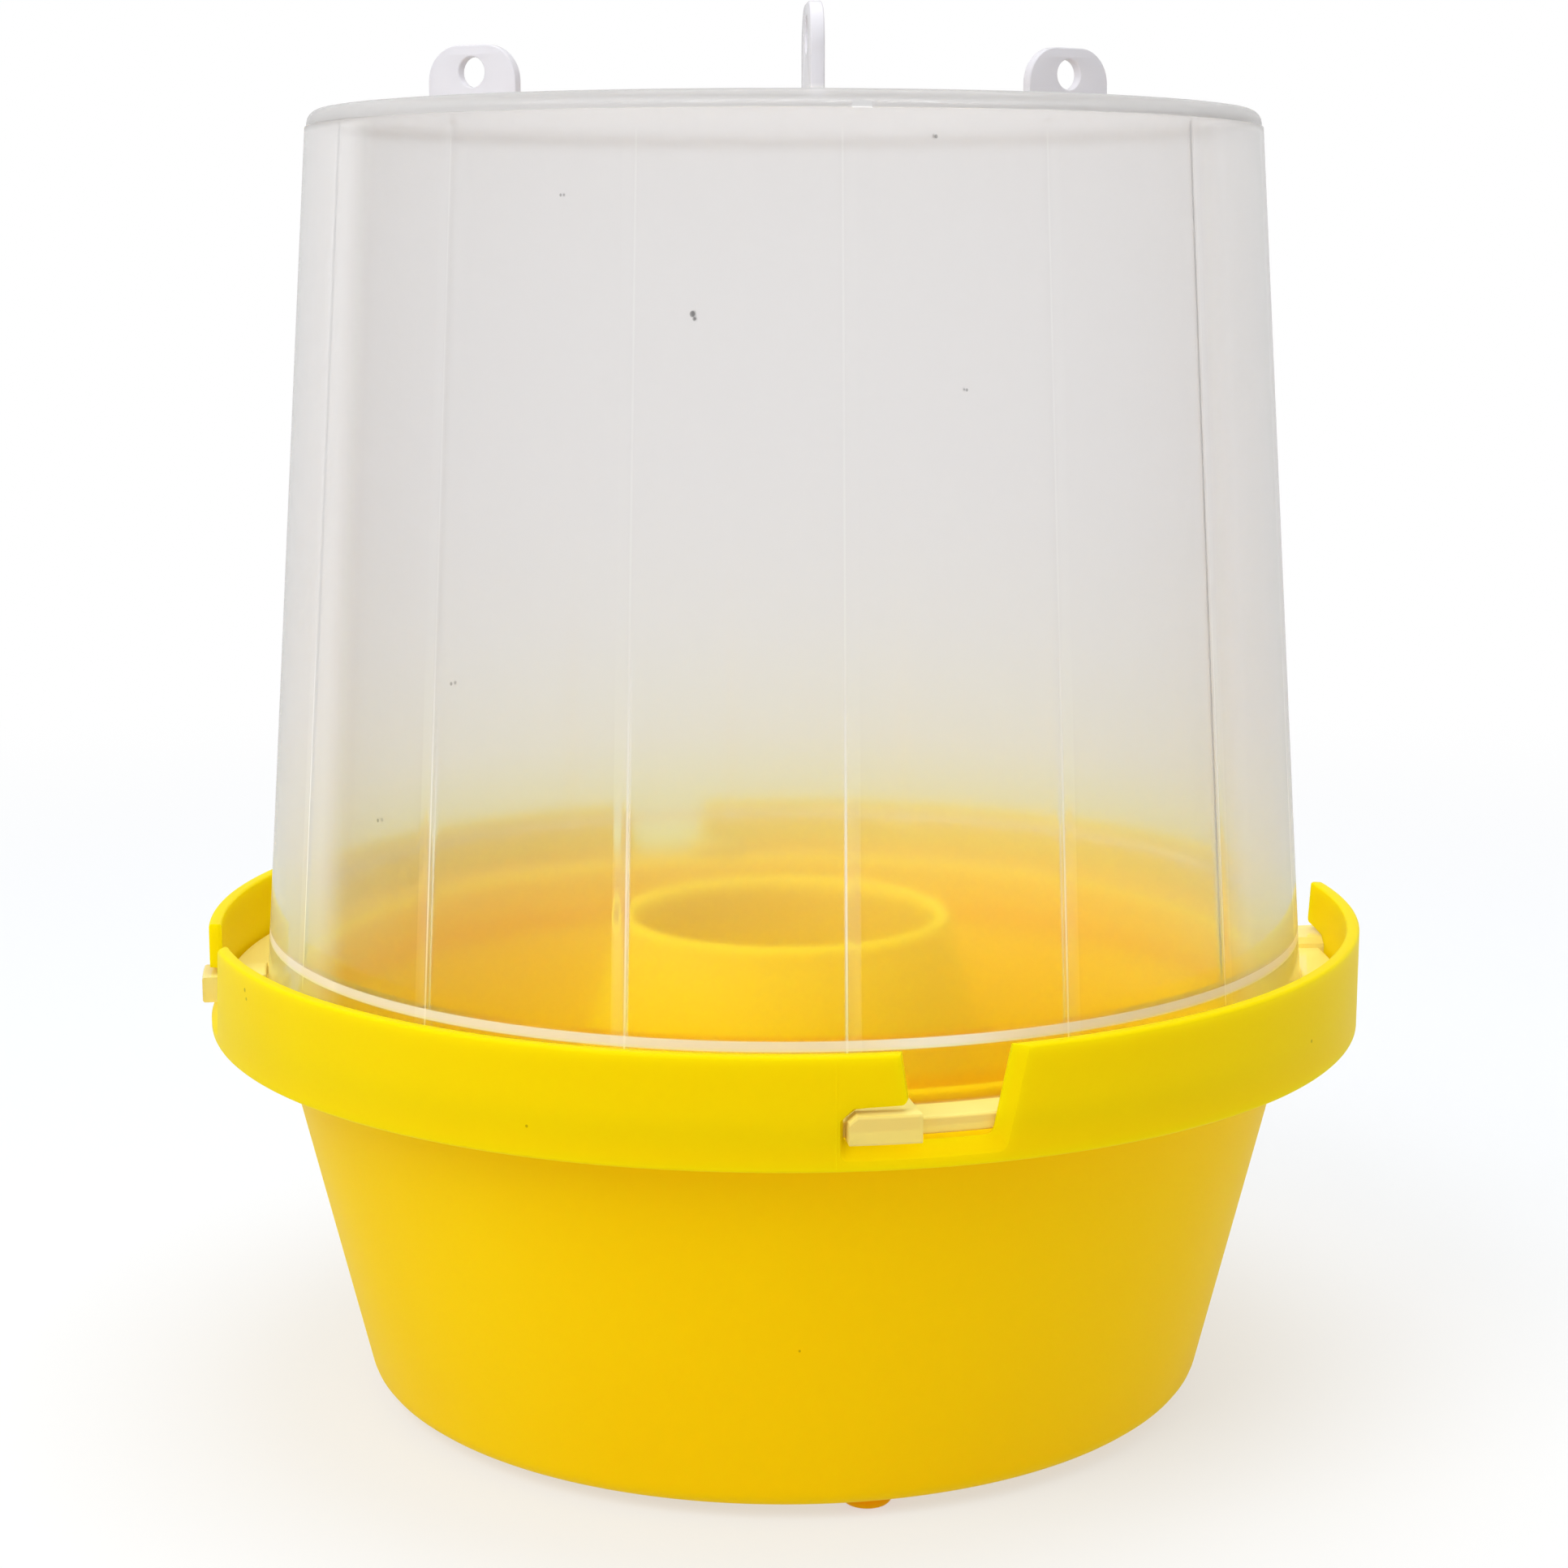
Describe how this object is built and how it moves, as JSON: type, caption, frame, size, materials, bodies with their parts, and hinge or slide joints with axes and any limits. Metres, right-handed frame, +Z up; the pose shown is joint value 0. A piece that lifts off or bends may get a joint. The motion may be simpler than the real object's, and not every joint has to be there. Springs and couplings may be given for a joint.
{
  "type": "wasp trap",
  "caption": "Round wasp trap: yellow bowl with an entrance funnel rising from below, under a milky twist-on bayonet lid with hanging ears.",
  "frame": {"origin": "on the central axis, at the level of the undersides of the feet", "axes": "+Z up along the axis of the bowl, the funnel and the lid; -Y is the front, with one bayonet slot just right of it; +X is to the right seen from the front"},
  "size_m": [0.1768, 0.1768, 0.2035],
  "materials": {
    "yellow_plastic": "satin moulded polypropylene",
    "milky_plastic": "natural, slightly milky moulded polypropylene"
  },
  "bodies": {
    "base": {"base_bowl": "yellow_plastic", "entrance_funnel": "yellow_plastic", "locking_collar": "yellow_plastic", "feet": "yellow_plastic"},
    "lid": {"lid_dome": "milky_plastic", "lid_flange": "milky_plastic", "locking_lugs": "milky_plastic", "hanging_ears": "milky_plastic"}
  },
  "joints": [
    {"name": "lid_twist", "type": "hinge", "parent": "base", "child": "lid", "pos_m": [0, 0, 0.0615], "axis": [0, 0, 1], "range_deg": [0, 6.4]}
  ]
}
